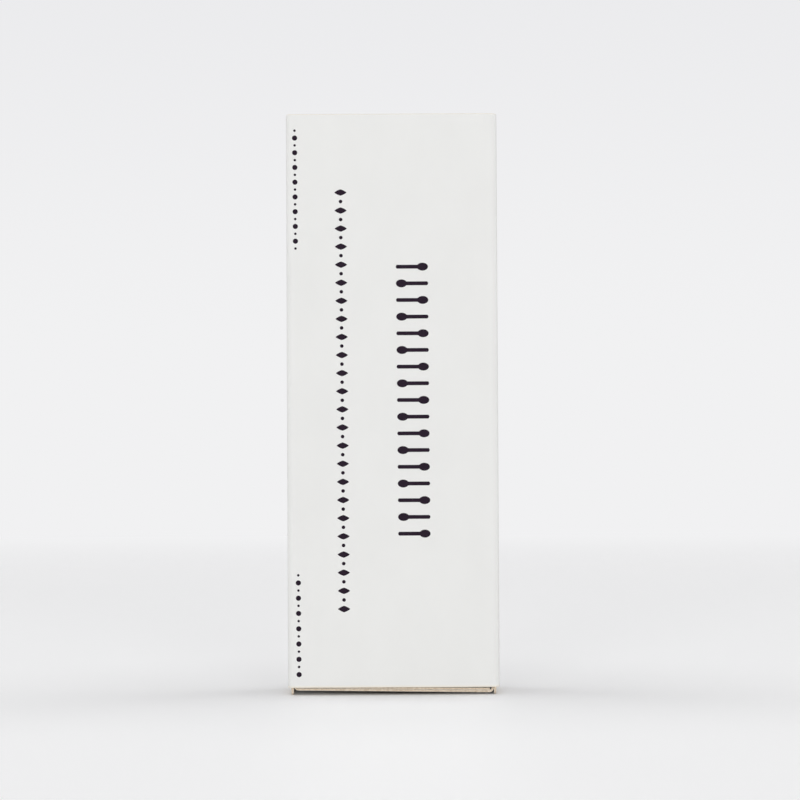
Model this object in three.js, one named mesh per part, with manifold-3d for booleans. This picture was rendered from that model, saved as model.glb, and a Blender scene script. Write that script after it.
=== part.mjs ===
// A slide matchbox standing on its end: a folded card sleeve with a glued seam, a folded card tray that slides
// through it, a striking strip on each narrow side, and thirty long wooden matches standing in the tray.
// Millimetres, +Z up. The front panel faces -Y, and the tray's open side faces the front panel. The origin is the
// middle of the footprint, on the surface that the raw ends of the tray's side walls stand on.

import * as THREE from "three";
import { mergeVertices } from "three/addons/utils/BufferGeometryUtils.js";
import Module from "manifold-3d";

const wasm = await Module();
wasm.setup();

// Sleeve: four panels and a glue flap, folded from one sheet of card
const SLEEVE_WIDTH = 40;
const SLEEVE_DEPTH = 18;
const SLEEVE_LENGTH = 108.6;
const SLEEVE_BOARD = 0.45;
const SLEEVE_FOLD_INSIDE = 0.55; // inner radius of a scored fold
const GLUE_FLAP_WIDTH = 12; // from the corner to the flap's raw edge, inside the back panel
const SEAM_GAP = 0.2; // from the flap's fold to the back panel's raw edge

// Tray: a base, two side walls and two end walls whose tabs are glued inside the side walls
const TRAY_BOARD = 0.45;
const TRAY_FOLD_INSIDE = 0.45;
const TRAY_SIDE_CLEARANCE = 0.2; // to the sleeve, at each side wall
const TRAY_FACE_CLEARANCE = 0.2; // to the sleeve, at the rim and under the base
const TRAY_SHORTFALL = 0.2; // how much shorter the tray is than the sleeve
const TRAY_DROP = 1.4; // how far the tray stands out below the sleeve
const END_WALL_SETBACK = 0.45; // from a side wall's raw end to the end wall's outer face
const END_WALL_LOW = 0.2; // how far the end wall's rim stays below the side walls' rim
const TAB_LENGTH = 10;
const TAB_CLEARANCE = 0.3; // from a tab's edge to the side wall's fold and to the rim, at its own fold
const TAB_TAPER = 2; // how much further each edge has drawn in at the tab's free end

// Striking strips
const STRIKER_THICKNESS = 0.15;
const STRIKER_WIDTH = 11;
const STRIKER_END_MARGIN = 4; // to each end of the sleeve

// Matches
const MATCH_COUNT = 30;
const MATCH_HEADROOM = 6.6; // from the heads to the tray's upper end wall
const STICK_SIZE = 2.2;
const HEAD_DIAMETER = 3.3;
const HEAD_LENGTH = 5.4;
const HEAD_COVER = 1.1; // composition above the stick's end
const HEAD_GAP = 0.2; // between neighbouring heads, and from the outer heads to the tabs
const HEAD_BASE_GAP = 0.1; // from the first layer of heads to the tray's base
const MATCH_TURN = 37; // degrees that each stick is turned on from the one before

// Facets
const GRID = 1e-4; // coordinates are rounded to this, so that faces which meet lie exactly in one plane
const FOLD_STEPS = 3; // half the flats along a quarter-turn fold
const HEAD_SIDES = 12;
const HEAD_RINGS = 7;

const CARD_WHITE = 0xe8e8e6;
const CARD_CREAM = 0xe9e2d3;
const STRIKER_BROWN = 0x51423c;
const ASPEN = 0xe6d3ab;

// Planes of the sleeve and the tray that other pieces take their place from
const sleeveFold = SLEEVE_FOLD_INSIDE + SLEEVE_BOARD;
const halfWidth = SLEEVE_WIDTH / 2;
const halfDepth = SLEEVE_DEPTH / 2;
const trayFold = TRAY_FOLD_INSIDE + TRAY_BOARD;
const trayLength = SLEEVE_LENGTH - TRAY_SHORTFALL;
const trayHalfWidth = halfWidth - SLEEVE_BOARD - TRAY_SIDE_CLEARANCE;
const rimY = -halfDepth + SLEEVE_BOARD + TRAY_FACE_CLEARANCE;
const baseY = halfDepth - 2 * SLEEVE_BOARD - TRAY_FACE_CLEARANCE; // outer face of the tray's base
const wallInsideX = trayHalfWidth - TRAY_BOARD; // inner face of a side wall, where the tabs are glued
const tabInsideX = wallInsideX - TRAY_BOARD;
const sideFoldX = trayHalfWidth - trayFold; // where the base turns into the side walls' folds
const sideFoldY = baseY - trayFold; // where those folds turn into the side walls
const endFoldZ = END_WALL_SETBACK + trayFold; // where the base turns into the lower end wall's fold
const trayFloorZ = END_WALL_SETBACK + TRAY_BOARD; // inner face of the lower end wall
const matchLength = trayLength - 2 * trayFloorZ - MATCH_HEADROOM;

// A closed outline through corners [u, v, radius], counterclockwise; a radius rounds a right-angled corner.
function foldedOutline(corners, Outline = THREE.Shape) {
  const outline = new Outline();
  corners.forEach(([u, v, radius = 0], i) => {
    const before = corners.at(i - 1);
    const after = corners[(i + 1) % corners.length];
    const into = new THREE.Vector2(u - before[0], v - before[1]).setLength(radius);
    const out = new THREE.Vector2(after[0] - u, after[1] - v).setLength(radius);
    const start = [u - into.x, v - into.y];
    if (i === 0) outline.moveTo(...start);
    else outline.lineTo(...start);
    if (radius > 0) {
      const from = Math.atan2(-out.y, -out.x);
      const to = Math.atan2(into.y, into.x);
      outline.absarc(start[0] + out.x, start[1] + out.y, radius, from, to, into.cross(out) < 0);
    }
  });
  outline.closePath();
  return outline;
}

// The plane that an outline is drawn in, as its two directions, for each direction of extrusion
const PLANES = {
  x: [new THREE.Vector3(0, 1, 0), new THREE.Vector3(0, 0, 1), new THREE.Vector3(1, 0, 0)],
  y: [new THREE.Vector3(0, 0, 1), new THREE.Vector3(1, 0, 0), new THREE.Vector3(0, 1, 0)],
  z: [new THREE.Vector3(1, 0, 0), new THREE.Vector3(0, 1, 0), new THREE.Vector3(0, 0, 1)],
};

// An outline extruded along x, y or z: outlines are (y, z), (z, x) and (x, y).
function extruded(outline, axis, from, to) {
  const geometry = new THREE.ExtrudeGeometry(outline, {
    depth: to - from,
    bevelEnabled: false,
    curveSegments: FOLD_STEPS,
  });
  geometry.translate(0, 0, from);
  return geometry.applyMatrix4(new THREE.Matrix4().makeBasis(...PLANES[axis]));
}

function toSolid(geometry) {
  const bare = geometry.clone();
  bare.deleteAttribute("normal");
  bare.deleteAttribute("uv");
  const merged = mergeVertices(bare, GRID);
  const mesh = new wasm.Mesh({
    numProp: 3,
    vertProperties: merged.attributes.position.array.map((value) => Math.round(value / GRID) * GRID),
    triVerts: new Uint32Array(merged.index.array),
  });
  return new wasm.Manifold(mesh);
}

function toGeometry(solid) {
  const mesh = solid.getMesh();
  const geometry = new THREE.BufferGeometry();
  geometry.setAttribute("position", new THREE.BufferAttribute(mesh.vertProperties, 3));
  geometry.setIndex(new THREE.BufferAttribute(mesh.triVerts, 1));
  const faceted = geometry.toNonIndexed();
  faceted.computeVertexNormals();
  return faceted;
}

const extrudedSolid = (...size) => toSolid(extruded(...size));

// The sleeve's section: the back panel lies over the glue flap, and its raw edge stops just short of the flap's fold.
function sleeveGeometry() {
  const flapOutsideY = halfDepth - SLEEVE_BOARD;
  const seamX = -halfWidth + sleeveFold + SEAM_GAP;
  const section = foldedOutline([
    [-halfWidth, -halfDepth, sleeveFold],
    [halfWidth, -halfDepth, sleeveFold],
    [halfWidth, halfDepth, sleeveFold],
    [seamX, halfDepth],
    [seamX, flapOutsideY],
    [-halfWidth, flapOutsideY, sleeveFold],
  ]);
  const insideX = halfWidth - SLEEVE_BOARD;
  const flapInsideY = flapOutsideY - SLEEVE_BOARD;
  const flapEdgeX = -halfWidth + GLUE_FLAP_WIDTH;
  const hollow = foldedOutline(
    [
      [-insideX, -halfDepth + SLEEVE_BOARD, SLEEVE_FOLD_INSIDE],
      [insideX, -halfDepth + SLEEVE_BOARD, SLEEVE_FOLD_INSIDE],
      [insideX, flapOutsideY, SLEEVE_FOLD_INSIDE],
      [flapEdgeX, flapOutsideY],
      [flapEdgeX, flapInsideY],
      [-insideX, flapInsideY, SLEEVE_FOLD_INSIDE],
    ],
    THREE.Path,
  );
  section.holes.push(hollow);
  return extruded(section, "z", 0, SLEEVE_LENGTH);
}

// The base and both side walls. Past the end folds only the side walls' flat panels go on, up to their raw ends.
function trayChannel() {
  const past = 1; // how far the cuts run past the piece
  const section = foldedOutline([
    [-trayHalfWidth, rimY],
    [-wallInsideX, rimY],
    [-wallInsideX, baseY - TRAY_BOARD, TRAY_FOLD_INSIDE],
    [wallInsideX, baseY - TRAY_BOARD, TRAY_FOLD_INSIDE],
    [wallInsideX, rimY],
    [trayHalfWidth, rimY],
    [trayHalfWidth, baseY, trayFold],
    [-trayHalfWidth, baseY, trayFold],
  ]);
  const betweenPanels = foldedOutline([
    [-halfWidth, sideFoldY],
    [halfWidth, sideFoldY],
    [halfWidth, halfDepth],
    [-halfWidth, halfDepth],
  ]);
  const channel = extrudedSolid(section, "z", 0, trayLength);
  const below = extrudedSolid(betweenPanels, "z", -past, endFoldZ);
  const above = extrudedSolid(betweenPanels, "z", trayLength - endFoldZ, trayLength + past);
  return channel.subtract(below).subtract(above);
}

// A block with the end wall's three folds rounded, drawn in by inset from the end wall's outer faces.
function endWallBlock(inset, open) {
  const fold = trayFold - inset;
  const outerX = wallInsideX - inset;
  const startZ = END_WALL_SETBACK + inset;
  const endZ = END_WALL_SETBACK + TAB_LENGTH + open;
  const rim = rimY + END_WALL_LOW - open;
  const acrossTabs = foldedOutline([
    [startZ, -outerX, fold],
    [endZ, -outerX],
    [endZ, outerX],
    [startZ, outerX, fold],
  ]);
  const acrossBase = foldedOutline([
    [rim, startZ],
    [baseY - inset, startZ, fold],
    [baseY - inset, endZ],
    [rim, endZ],
  ]);
  const tabsSide = extrudedSolid(acrossTabs, "y", rim, baseY - inset);
  const baseSide = extrudedSolid(acrossBase, "x", -outerX, outerX);
  return tabsSide.intersect(baseSide);
}

// The lower end wall with its fold to the base and its two tabs, each narrower towards its free end. The blank is
// notched where three folds would meet, so the tabs start clear of the side walls' folds.
function trayEndWall() {
  const past = 1; // how far the cuts run past the piece
  const tabEndZ = END_WALL_SETBACK + TAB_LENGTH;
  const taper = (TAB_TAPER * (tabEndZ + past - endFoldZ)) / (tabEndZ - endFoldZ);
  const tabEdgeY = sideFoldY - TAB_CLEARANCE;
  const overTabs = foldedOutline([
    [halfDepth, endFoldZ],
    [halfDepth, tabEndZ + past],
    [tabEdgeY - taper, tabEndZ + past],
    [tabEdgeY, endFoldZ],
  ]);
  const rim = rimY + END_WALL_LOW;
  const underTabs = foldedOutline([
    [rim - past, endFoldZ],
    [rim + TAB_CLEARANCE, endFoldZ],
    [rim + TAB_CLEARANCE + taper, tabEndZ + past],
    [rim - past, tabEndZ + past],
  ]);
  const notch = foldedOutline([
    [tabEdgeY, -past],
    [halfDepth, -past],
    [halfDepth, endFoldZ + past],
    [tabEdgeY, endFoldZ + past],
  ]);
  return endWallBlock(0, 0)
    .subtract(endWallBlock(TRAY_BOARD, past))
    .subtract(extrudedSolid(overTabs, "x", -halfWidth, halfWidth))
    .subtract(extrudedSolid(underTabs, "x", -halfWidth, halfWidth))
    .subtract(extrudedSolid(notch, "x", -halfWidth, -sideFoldX))
    .subtract(extrudedSolid(notch, "x", sideFoldX, halfWidth));
}

function trayGeometry() {
  const lowerEnd = trayEndWall();
  const mirrored = lowerEnd.mirror([0, 0, 1]).translate([0, 0, trayLength]);
  const upperEnd = toSolid(toGeometry(mirrored)); // back on the grid, so that it meets the base exactly
  return toGeometry(trayChannel().add(lowerEnd).add(upperEnd));
}

function strikerGeometry() {
  const strip = foldedOutline([
    [-STRIKER_WIDTH / 2, STRIKER_END_MARGIN],
    [STRIKER_WIDTH / 2, STRIKER_END_MARGIN],
    [STRIKER_WIDTH / 2, SLEEVE_LENGTH - STRIKER_END_MARGIN],
    [-STRIKER_WIDTH / 2, SLEEVE_LENGTH - STRIKER_END_MARGIN],
  ]);
  return extruded(strip, "x", 0, STRIKER_THICKNESS);
}

// A square stick with its dipped head. The head's radius follows a sine along its length, widest past the middle
// and blunt at the tip, so it narrows slowly down to the stick.
function matchGeometry() {
  const half = STICK_SIZE / 2;
  const square = foldedOutline([
    [-half, -half],
    [half, -half],
    [half, half],
    [-half, half],
  ]);
  const stick = extrudedSolid(square, "z", 0, matchLength - HEAD_COVER);
  const WIDEST = 1.35;
  const BLUNT = 0.62;
  const profile = [];
  for (let ring = 0; ring <= HEAD_RINGS; ring++) {
    const along = ring / HEAD_RINGS;
    const onAxis = ring === 0 || ring === HEAD_RINGS;
    const radius = onAxis ? 0 : (HEAD_DIAMETER / 2) * Math.sin(Math.PI * along ** WIDEST) ** BLUNT;
    profile.push(new THREE.Vector2(radius, matchLength - HEAD_LENGTH * (1 - along)));
  }
  const turned = new THREE.LatheGeometry(profile, HEAD_SIDES);
  turned.rotateX(Math.PI / 2);
  return toGeometry(stick.add(toSolid(turned)));
}

// Places of the matches in layers from the base forwards, each layer nested between the heads of the one behind.
function matchPlaces() {
  const pitch = HEAD_DIAMETER + HEAD_GAP;
  const layerStep = Math.sqrt(pitch ** 2 - (pitch / 2) ** 2);
  const firstX = -tabInsideX + HEAD_GAP + HEAD_DIAMETER / 2;
  const spare = 2 * (tabInsideX - HEAD_GAP) - HEAD_DIAMETER - pitch / 2;
  const perLayer = Math.min(MATCH_COUNT / 3, 1 + Math.floor(spare / pitch));
  const spread = spare / (perLayer - 1);
  const firstY = baseY - TRAY_BOARD - HEAD_BASE_GAP - HEAD_DIAMETER / 2;
  return Array.from({ length: MATCH_COUNT }, (_, k) => {
    const layer = Math.floor(k / perLayer);
    const nested = layer % 2 ? pitch / 2 : 0;
    return [firstX + nested + (k % perLayer) * spread, firstY - layer * layerStep];
  });
}

function card(color) {
  return new THREE.MeshStandardMaterial({ color, roughness: 0.6, metalness: 0 });
}

function named(name, geometry, material) {
  const mesh = new THREE.Mesh(geometry, material);
  mesh.name = name;
  return mesh;
}

function makeSleeve() {
  const group = new THREE.Group();
  group.position.z = TRAY_DROP;
  group.add(named("sleeve", sleeveGeometry(), card(CARD_WHITE)));
  const coat = new THREE.MeshStandardMaterial({ color: STRIKER_BROWN, roughness: 0.95, metalness: 0 });
  const right = named("striker_right", strikerGeometry(), coat);
  right.position.x = halfWidth;
  const left = named("striker_left", strikerGeometry(), coat);
  left.position.x = -halfWidth - STRIKER_THICKNESS;
  return group.add(left, right);
}

function makeTray() {
  const group = new THREE.Group();
  group.add(named("tray", trayGeometry(), card(CARD_CREAM)));
  const wood = new THREE.MeshStandardMaterial({ color: ASPEN, roughness: 0.8, metalness: 0 });
  const geometry = matchGeometry();
  matchPlaces().forEach(([x, y], k) => {
    const match = named("match_" + String(k + 1).padStart(2, "0"), geometry, wood);
    match.position.set(x, y, trayFloorZ);
    match.rotation.z = THREE.MathUtils.degToRad(MATCH_TURN * k);
    group.add(match);
  });
  return group;
}

const matchbox = new THREE.Group();
matchbox.add(makeSleeve(), makeTray());

export default matchbox;
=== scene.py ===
"""A slide matchbox standing on its end on a pale studio floor.

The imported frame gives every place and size, in metres. The folded sleeve, the folded tray, the matches, the
striking strips and the print are surfaces worked out with numpy, and each finish is a small procedural material.
"""

import logging
import math
from dataclasses import dataclass
from enum import Enum

import bpy
import numpy as np
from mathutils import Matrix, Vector


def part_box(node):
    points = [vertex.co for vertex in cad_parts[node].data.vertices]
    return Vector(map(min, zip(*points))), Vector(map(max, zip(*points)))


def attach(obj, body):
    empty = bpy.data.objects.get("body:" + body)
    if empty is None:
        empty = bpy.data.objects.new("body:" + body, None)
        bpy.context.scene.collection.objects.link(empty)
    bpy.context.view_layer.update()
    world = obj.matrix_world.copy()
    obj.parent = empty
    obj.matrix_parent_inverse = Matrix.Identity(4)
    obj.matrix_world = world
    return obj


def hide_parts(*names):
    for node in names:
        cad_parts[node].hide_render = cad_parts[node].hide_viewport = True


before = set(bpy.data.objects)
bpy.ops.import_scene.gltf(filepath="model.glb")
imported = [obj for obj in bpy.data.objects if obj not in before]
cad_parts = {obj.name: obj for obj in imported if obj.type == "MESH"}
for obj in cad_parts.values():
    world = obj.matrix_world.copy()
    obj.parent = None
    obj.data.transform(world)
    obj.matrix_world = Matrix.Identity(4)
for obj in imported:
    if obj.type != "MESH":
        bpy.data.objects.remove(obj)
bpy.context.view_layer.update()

MM = 0.001
SHARP_EDGE = math.radians(38)
SEED = 30
log = logging.getLogger("matchbox")

Pair = tuple[float, float]
Colour = tuple[float, float, float, float]


class Zone(Enum):
    """The stretches of a board's surface, each with its own finish."""

    OUTSIDE = 0
    INSIDE = 1
    CUT = 2


class MatchPart(Enum):
    """The parts of a match, each with its own finish."""

    STICK = 0
    HEAD = 1


def srgb(red: int, green: int, blue: int) -> Colour:
    """A display colour as the linear colour that a shader takes.

    Args:
        red, green, blue: The display colour, 0 to 255.

    Returns:
        The linear red, green, blue and an alpha of 1.
    """
    shares = np.array([red, green, blue]) / 255
    linear = np.where(shares <= 0.04045, shares / 12.92, ((shares + 0.055) / 1.055) ** 2.4)
    return (*linear.tolist(), 1.0)


def smooth(share: np.ndarray) -> np.ndarray:
    """Three s squared minus two s cubed, of a share held between 0 and 1."""
    held = np.clip(share, 0, 1)
    return held * held * (3 - 2 * held)


def eased(steps: int) -> np.ndarray:
    """Shares from 0 to 1, closer together at both ends: half of one minus the cosine of an even half turn."""
    return (1 - np.cos(np.linspace(0, math.pi, steps + 1))) / 2


def wander(at: np.ndarray, wavelength: float, draw: np.random.Generator) -> np.ndarray:
    """A slow wobble between about -1 and 1: the mean of four sines of drawn phases and near wavelengths.

    Args:
        at: Where to read it, in metres.
        wavelength: The longest wave, in metres.
        draw: The seeded source of the phases.

    Returns:
        The wobble, of the same shape as at.
    """
    waves = draw.uniform(1, 3.2, 4) * 2 * math.pi / wavelength
    phases = draw.uniform(0, 2 * math.pi, 4)
    return np.mean(np.sin(at[..., None] * waves + phases), axis=-1)


def superellipse(points: int, squareness: float, turn: float = 0.0) -> np.ndarray:
    """An outline two wide and two high: the cosine and the sine, each to the power of two over the squareness.

    Args:
        points: How many points it has.
        squareness: 2 for an oval, 1.2 for a lozenge with soft corners and 8 for a bar.
        turn: The angle of its first point.

    Returns:
        The points, each coordinate with the sign of its wave.
    """
    angle = np.linspace(0, 2 * math.pi, points, endpoint=False) + turn
    wave = np.stack([np.cos(angle), np.sin(angle)], axis=-1)
    return np.sign(wave) * np.abs(wave) ** (2 / squareness)


def turned(x: np.ndarray, y: np.ndarray, angle: np.ndarray | float) -> tuple[np.ndarray, np.ndarray]:
    """The places x, y turned by an angle about the upright axis."""
    cosine, sine = np.cos(angle), np.sin(angle)
    return x * cosine - y * sine, x * sine + y * cosine


def new_object(name: str, data: bpy.types.ID) -> bpy.types.Object:
    """A new object in the scene that carries the data.

    Args:
        name: The object's name.
        data: Its mesh, light or camera.

    Returns:
        The object.
    """
    made = bpy.data.objects.new(name, data)
    bpy.context.scene.collection.objects.link(made)
    return made


@dataclass
class Surface:
    """Points, the faces between them and the zone of each face."""

    points: np.ndarray
    faces: list[list[int]]
    zones: list[int]

    def outward(self) -> "Surface":
        """The same surface with its faces turned outwards, going by the sign of the volume they close."""
        volume = 0.0
        sizes = np.array([len(face) for face in self.faces])
        for size in np.unique(sizes):
            rows = np.array([face for face in self.faces if len(face) == size])
            corner = self.points[rows[:, 0]]
            for k in range(1, size - 1):
                wedge = np.cross(self.points[rows[:, k]], self.points[rows[:, k + 1]])
                volume += float(np.sum(corner * wedge))
        if volume < 0:
            self.faces = [face[::-1] for face in self.faces]
        return self

    @staticmethod
    def joined(parts: list["Surface"]) -> "Surface":
        """Several closed surfaces as one.

        Args:
            parts: The surfaces.

        Returns:
            One surface that holds them all.
        """
        starts = np.cumsum([0] + [len(part.points) for part in parts])
        faces = [[i + int(start) for i in face] for part, start in zip(parts, starts) for face in part.faces]
        zones = [zone for part in parts for zone in part.zones]
        return Surface(np.concatenate([part.points for part in parts]), faces, zones)


def grid_faces(rows: int, columns: int, start: int = 0) -> np.ndarray:
    """The quads of a grid that closes on itself across its columns.

    Args:
        rows: How many rows of points.
        columns: How many points in a row.
        start: The number of the first point.

    Returns:
        One row of four point numbers for each quad, ordered row by row.
    """
    row, column = np.meshgrid(np.arange(rows - 1), np.arange(columns), indexing="ij")
    after = (column + 1) % columns
    corners = [row * columns + column, (row + 1) * columns + column]
    corners += [(row + 1) * columns + after, row * columns + after]
    return start + np.stack(corners, axis=-1).reshape(-1, 4)


def ringed(rings: np.ndarray, zone: Zone | MatchPart = Zone.OUTSIDE) -> Surface:
    """A closed surface through rings of points: quads from ring to ring, and one flat face over each end.

    Args:
        rings: The points, as ring, point in the ring, coordinate.
        zone: The zone of all its faces.

    Returns:
        The surface, facing outwards.
    """
    count, around = rings.shape[:2]
    faces = grid_faces(count, around).tolist()
    faces.append(list(range(around)))
    faces.append(list(range((count - 1) * around, count * around))[::-1])
    return Surface(rings.reshape(-1, 3), faces, [zone.value] * len(faces)).outward()


def board(outside: np.ndarray, inside: np.ndarray, crown: float = 0.0, rim_points: int = 3) -> Surface:
    """A sheet of board closed round its outside and inside faces.

    Each row of points goes along the outside face, over the far cut edge, back along the inside face and over
    the near cut edge. An edge's points lie evenly between the two faces, pushed out by the crown times the sine
    of an even half turn.

    Args:
        outside: The outside face, as place along the sheet's folded line, place across it, coordinate.
        inside: The inside face, with the same places.
        crown: How far the cut edges stand out at their middle.
        rim_points: Points over each cut edge, between the two faces.

    Returns:
        The surface, with its three zones, facing outwards.
    """
    rows, across = outside.shape[:2]
    along = outside[:, -1] - outside[:, 0]
    along = along / np.linalg.norm(along, axis=1, keepdims=True)
    share = (np.arange(rim_points) + 1)[None, :, None] / (rim_points + 1)
    push = crown * np.sin(math.pi * share) * along[:, None, :]
    far = outside[:, -1:] * (1 - share) + inside[:, -1:] * share + push
    near = inside[:, :1] * (1 - share) + outside[:, :1] * share - push
    loops = np.concatenate([outside, far, inside[:, ::-1], near], axis=1)
    columns = loops.shape[1]
    quads = grid_faces(rows, columns)
    turn = across + rim_points
    row_zones = np.full(columns, Zone.CUT.value)
    row_zones[: across - 1] = Zone.OUTSIDE.value
    row_zones[turn : turn + across - 1] = Zone.INSIDE.value
    zones = np.tile(row_zones, rows - 1).tolist()

    step = np.arange(across - 1)
    facing = turn + across - 1 - step
    strip = np.stack([step, step + 1, facing - 1, facing], axis=1)
    far_end = list(range(across - 1, turn + 1))
    near_end = list(range(turn + across - 1, columns)) + [0]
    caps = strip.tolist() + [far_end, near_end]
    end = (rows - 1) * columns
    last_caps = [[end + i for i in face][::-1] for face in caps]
    faces = quads.tolist() + caps + last_caps
    zones += [Zone.CUT.value] * (2 * len(caps))
    return Surface(loops.reshape(-1, 3), faces, zones).outward()


@dataclass
class FoldedLine:
    """The middle line of a board, in the plane across its folds."""

    points: np.ndarray
    outward: np.ndarray
    share: np.ndarray  # the place along a flat panel, from 0 to 1, and 0 in a fold
    panel: np.ndarray  # the number of the panel, and -1 in a fold

    @staticmethod
    def through(
        corners: list[tuple[float, float]], radius: float, steps: int, fold_steps: int = 9
    ) -> "FoldedLine":
        """The line through right-angled corners, walked with the outside on the left.

        Each straight run is joined to the next by a quarter circle: its centre lies one radius on along the next
        run, and the point at angle a is the centre plus the radius times sine a along this run minus cosine a
        along the next.

        Args:
            corners: The corners, ends included, in metres.
            radius: The middle line's radius in a fold.
            steps: Steps along each straight run.
            fold_steps: Steps round each fold.

        Returns:
            The line, without doubled points.
        """
        turns = np.array(corners, float)
        runs = np.diff(turns, axis=0)
        heading = runs / np.linalg.norm(runs, axis=1, keepdims=True)
        points, outward, share, panel = [], [], [], []
        last = len(heading) - 1
        even = eased(steps)[:, None]
        angle = np.linspace(0, math.pi / 2, fold_steps + 1)[1:-1, None]
        for k, along in enumerate(heading):
            start = turns[k] + along * (radius if k else 0)
            end = turns[k + 1] - along * (radius if k < last else 0)
            points.append(start + even * (end - start))
            outward.append(np.tile([-along[1], along[0]], (len(even), 1)))
            share.append(even[:, 0])
            panel.append(np.full(len(even), k))
            if k < last:
                centre = end + radius * heading[k + 1]
                points.append(centre + radius * (np.sin(angle) * along - np.cos(angle) * heading[k + 1]))
                tangent = np.cos(angle) * along + np.sin(angle) * heading[k + 1]
                outward.append(np.stack([-tangent[:, 1], tangent[:, 0]], axis=1))
                share.append(np.zeros(len(angle)))
                panel.append(np.full(len(angle), -1))
        line = np.concatenate(points)
        kept = np.append(np.linalg.norm(np.diff(line, axis=0), axis=1) > 0.001 * MM, True)
        return FoldedLine(*(np.concatenate(values)[kept] for values in (points, outward, share, panel)))

    def run(self) -> np.ndarray:
        """The distance along the line from its start, at each point."""
        return np.append(0, np.cumsum(np.linalg.norm(np.diff(self.points, axis=0), axis=1)))


def rolled(distance: np.ndarray, length: float, depth: float) -> np.ndarray:
    """How far a face has sunk near a cut edge: a quarter ellipse, the depth at the edge and 0 one length in."""
    share = 1 - np.clip(distance / length, 0, 1)
    return depth * (1 - np.sqrt(1 - share * share))


class Signal:
    """A number in a material, as the socket that carries it. Python's arithmetic on it adds Math nodes."""

    def __init__(self, painter: "Painter", socket: bpy.types.NodeSocket) -> None:
        """Keeps the material's painter and the socket."""
        self.painter = painter
        self.socket = socket

    def _maths(self, operation: str, *values: object) -> "Signal":
        """One Math node on numbers or signals."""
        node = self.painter.node("ShaderNodeMath", {"operation": operation}, dict(enumerate(values)))
        return Signal(self.painter, node.outputs[0])

    def __add__(self, other: object) -> "Signal":
        """This plus the other."""
        return self._maths("ADD", self, other)

    __radd__ = __add__

    def __sub__(self, other: object) -> "Signal":
        """This minus the other."""
        return self._maths("SUBTRACT", self, other)

    def __rsub__(self, other: object) -> "Signal":
        """The other minus this."""
        return self._maths("SUBTRACT", other, self)

    def __mul__(self, other: object) -> "Signal":
        """This times the other."""
        return self._maths("MULTIPLY", self, other)

    __rmul__ = __mul__

    def __truediv__(self, other: object) -> "Signal":
        """This over the other."""
        return self._maths("DIVIDE", self, other)

    def __pow__(self, other: object) -> "Signal":
        """This to the power of the other."""
        return self._maths("POWER", self, other)

    def fraction(self) -> "Signal":
        """What is left over the whole number below."""
        return self._maths("FRACT", self)

    def least(self, other: object) -> "Signal":
        """The smaller of this and the other."""
        return self._maths("MINIMUM", self, other)

    def most(self, other: object) -> "Signal":
        """The larger of this and the other."""
        return self._maths("MAXIMUM", self, other)

    def step(self, low: float, high: float) -> "Signal":
        """A smooth step from 0 at low to 1 at high.

        Args:
            low: Where the step starts.
            high: Where it ends.

        Returns:
            The step, between 0 and 1.
        """
        settings = {"interpolation_type": "SMOOTHSTEP"}
        inputs = {"Value": self, "From Min": low, "From Max": high, "To Min": 0.0, "To Max": 1.0}
        node = self.painter.node("ShaderNodeMapRange", settings, inputs)
        return Signal(self.painter, node.outputs["Result"])


@dataclass(frozen=True)
class Grain:
    """Soft noise: the size of its blobs on each axis in millimetres, its finer layers and their strength."""

    size: tuple[float, float, float]
    detail: float = 2.0
    rough: float = 0.5


COAT_TOOTH = Grain((0.16, 0.16, 0.24), 3.0, 0.65)


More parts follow.
